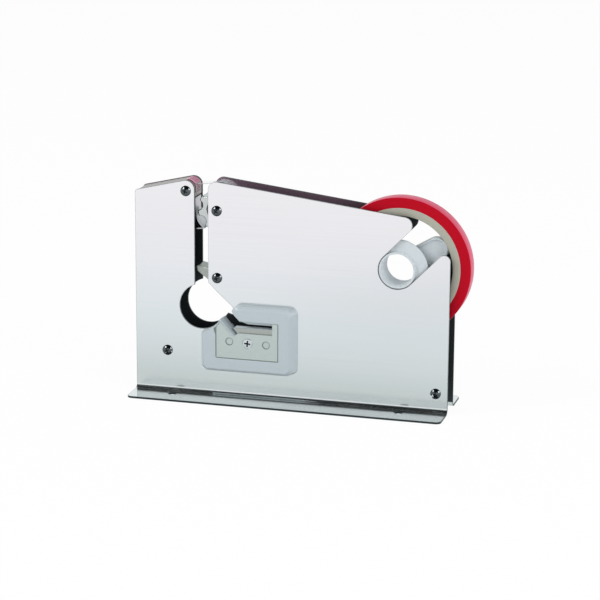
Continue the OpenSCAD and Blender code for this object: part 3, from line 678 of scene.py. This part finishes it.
# ---- Tape roll ----
# The core is a tube wound from grey-beige board, with its plies as rings on the end faces.
# The tape is thin red film wound on it: glossy round the outside, with its layers' edges on the sides.
ROLL_AT, CORE_BORE_R, CORE_R, ROLL_R, TAPE_HALF_W = (82.6, 106), 38.1, 43.9, 51.5, 6.0
at_roll = Matrix.Translation((ROLL_AT[0] * MM, 0, ROLL_AT[1] * MM))


def both_sides(side):
    """Closed ring profile from the half that faces +Y."""
    return side + [(r, -y) for r, y in reversed(side)]


def rings(tree, pitch_mm):
    """Rings round the roll's axis with the given pitch."""
    place = on_object(tree, centre=ROLL_AT)
    scale = 2 * math.pi / (20 * pitch_mm * MM)
    settings = {"wave_type": "RINGS", "rings_direction": "Y"}
    wave = add_node(tree, "ShaderNodeTexWave", settings, Vector=place, Scale=scale, Distortion=1.5)
    return wave.outputs["Fac"]


board, tree, surface = new_finish("spiral_wound_board", Roughness=0.85)
fibre = add_node(tree, "ShaderNodeTexNoise", Vector=on_object(tree), Scale=1 / (0.8 * MM), Detail=4.0)
# The plies are 0.4 mm thick; they are drawn 1.1 mm apart so that they show.
plies = rings(tree, 1.1)
tone = blended(tree, plies, "#97998D", "#AFAFA3")
tone = blended(tree, fibre.outputs["Fac"], tone, "#A8A699")
tree.links.new(tone, surface.inputs["Base Color"])
relief = add_node(tree, "ShaderNodeBump", Height=plies, Distance=0.03 * MM)
tree.links.new(relief.outputs[0], surface.inputs["Normal"])
core_side = [
    (CORE_BORE_R, 5.6),
    (CORE_BORE_R + 0.15, 5.88),
    (CORE_BORE_R + 0.45, TAPE_HALF_W),
    (CORE_R - 0.3, TAPE_HALF_W),
    (CORE_R - 0.02, 5.85),
]
core = turned(both_sides(core_side), ring=True, steps=128)
core.transform(at_roll)
fit(core, "board_core", (board,), "roll", "core_board", "tape_core")

# The layers' edges wander by a few hundredths of a millimetre, and the last turns stand a little in.
LAYER_STEPS = 26
winding_side = []
for i in range(LAYER_STEPS + 1):
    share = i / LAYER_STEPS
    wander = 0.05 * math.sin(7.3 * i) + 0.04 * math.sin(2.1 * i + 1)
    radius = CORE_R + 0.02 + (ROLL_R - 0.12 - CORE_R) * share
    winding_side.append((radius, TAPE_HALF_W - 0.1 - abs(wander)))
winding_side.append((ROLL_R, TAPE_HALF_W - 0.4))
red_film, tree, surface = new_finish("wound_red_film", Specular_IOR_Level=0.35)
grained(tree, surface, on_object(tree), 8.0, ("#CC2250", "#DA3C68"), (0.28, 0.38), 0.004)

# Seen edge on, the layers are matt and a deeper red, with fine rings where the winding tightened.
layer_edges, tree, surface = new_finish("slit_film_edges", Roughness=0.6, Specular_IOR_Level=0.05)
layers = rings(tree, 0.9)
depth_tone = blended(tree, layers, "#A80A1C", "#BC0E26")
tree.links.new(depth_tone, surface.inputs["Base Color"])
relief = add_node(tree, "ShaderNodeBump", Height=layers, Distance=0.02 * MM)
tree.links.new(relief.outputs[0], surface.inputs["Normal"])
winding = turned(both_sides(winding_side), ring=True, steps=160)
for face in winding.polygons:
    face.material_index = 0 if abs(face.normal.y) < 0.5 else 1
winding.transform(at_roll)
fit(winding, "wound_tape", (red_film, layer_edges), "roll", "tape_film", "tape_winding")

# ---- Free tape ----
# One layer of the film runs from the roll's underside over the guide and across the slot to the post.
# A single layer is nearly clear with a rose tint. On the post its toothed end lies over an old end,
# which hangs down the slot's side; the rose there is stronger from both layers and from a painted reflection.
STAR_AT, WEB_GUIDE_R, WEB_ROLL_R = (-54.3, 140.1), 20.8, 52.05
CAP_CORNER_AT, WEB_CAP_R, WEB_SAG = (-77.8, 154.69), 6.8, 1.1
OLD_END_R, OLD_END_Z = 6.55, 151.6
FILM_T, FILM_BOW, TEETH, TOOTH_H = 0.12, 0.12, 8, 0.7
span = Vector(ROLL_AT) - Vector(STAR_AT)
span_a = math.degrees(math.atan2(span.y, span.x) - math.asin((WEB_GUIDE_R + WEB_ROLL_R) / span.length))
web = [round_at(ROLL_AT, WEB_ROLL_R, span_a - 90)]
web += [round_at(STAR_AT, WEB_GUIDE_R, span_a + 90 + (3 - span_a) * i / 16) for i in range(17)]
start, end = Vector(web[-1]), Vector(round_at(CAP_CORNER_AT, WEB_CAP_R, 36))
for i in range(1, 11):
    share = i / 10
    web.append(tuple(start.lerp(end, share) - Vector((0, WEB_SAG * 4 * share * (1 - share)))))
web += [round_at(CAP_CORNER_AT, WEB_CAP_R, a) for a in range(41, 103, 5)]

old_end = [round_at(CAP_CORNER_AT, OLD_END_R, a) for a in range(50, -1, -10)]
old_end.append((CAP_CORNER_AT[0] + OLD_END_R, OLD_END_Z))

form = bmesh.new()
for strip_line in (web, old_end):
    rows = []
    for x, z in strip_line:
        toothed = strip_line is web and (x, z) == web[-1]
        row = []
        for j in range(2 * TEETH + 1):
            across = j / TEETH - 1
            back_x = TOOTH_H if toothed and j % 2 else 0
            place = ((x + back_x) * MM, across * TAPE_HALF_W * MM, (z + FILM_BOW * across**2) * MM)
            row.append(form.verts.new(place))
        rows.append(row)
    for one, other in zip(rows, rows[1:]):
        for j in range(2 * TEETH):
            form.faces.new((one[j], one[j + 1], other[j + 1], other[j]))
film = changed(as_mesh(form), ("SOLIDIFY", {"thickness": FILM_T * MM, "offset": 0}))

clear_film, tree, surface = new_finish("single_red_film", Roughness=0.08, IOR=1.5)
place = add_node(tree, "ShaderNodeSeparateXYZ", Vector=on_object(tree)).outputs
where = on_object(tree, (1, 0.3, 1))
crease = add_node(tree, "ShaderNodeTexNoise", Vector=where, Scale=1 / (2.5 * MM), Detail=2.0)
# How much of the film shows: a lot on the post, where it is stuck and a painted reflection of the tape
# is added, little in the slot, some on the guide
off_post = add_node(
    tree, "ShaderNodeMapRange", Value=place["X"], From_Min=-72.5 * MM, From_Max=-70.5 * MM
).outputs[0]
stuck_and_reflection = add_node(tree, "ShaderNodeMapRange", Value=off_post, To_Min=0.7, To_Max=0.06)
inner = add_node(
    tree, "ShaderNodeMapRange", Value=place["X"], From_Min=-60 * MM, From_Max=-50 * MM, To_Max=0.16
)
# The edge towards the user shows as a pale line: a painted reflection along it.
edge_reflection = compared(tree, place["Y"], "LESS_THAN", -3.6 * MM)
edge_reflection_share = add_node(tree, "ShaderNodeMath", {"operation": "MULTIPLY"}, _0=edge_reflection, _1=0.65)
cover = add_node(tree, "ShaderNodeMath", {"operation": "ADD"}, _0=stuck_and_reflection.outputs[0], _1=inner.outputs[0])
cover = add_node(tree, "ShaderNodeMath", {"operation": "ADD"}, _0=cover.outputs[0], _1=edge_reflection_share.outputs[0])
tree.links.new(cover.outputs[0], surface.inputs["Alpha"])
rose = blended(tree, crease.outputs["Fac"], "#A63A68", "#DC86AC")
# The pale grey on the near edge is a painted reflection.
tone = blended(tree, off_post, rose, blended(tree, edge_reflection, "#8A5A70", "#8C9391"))
tree.links.new(tone, surface.inputs["Base Color"])
relief = add_node(tree, "ShaderNodeBump", Height=crease.outputs["Fac"], Distance=0.1 * MM)
tree.links.new(relief.outputs[0], surface.inputs["Normal"])
fit(film, "free_tape", (clear_film,), "frame", "tape_film", "tape_web")
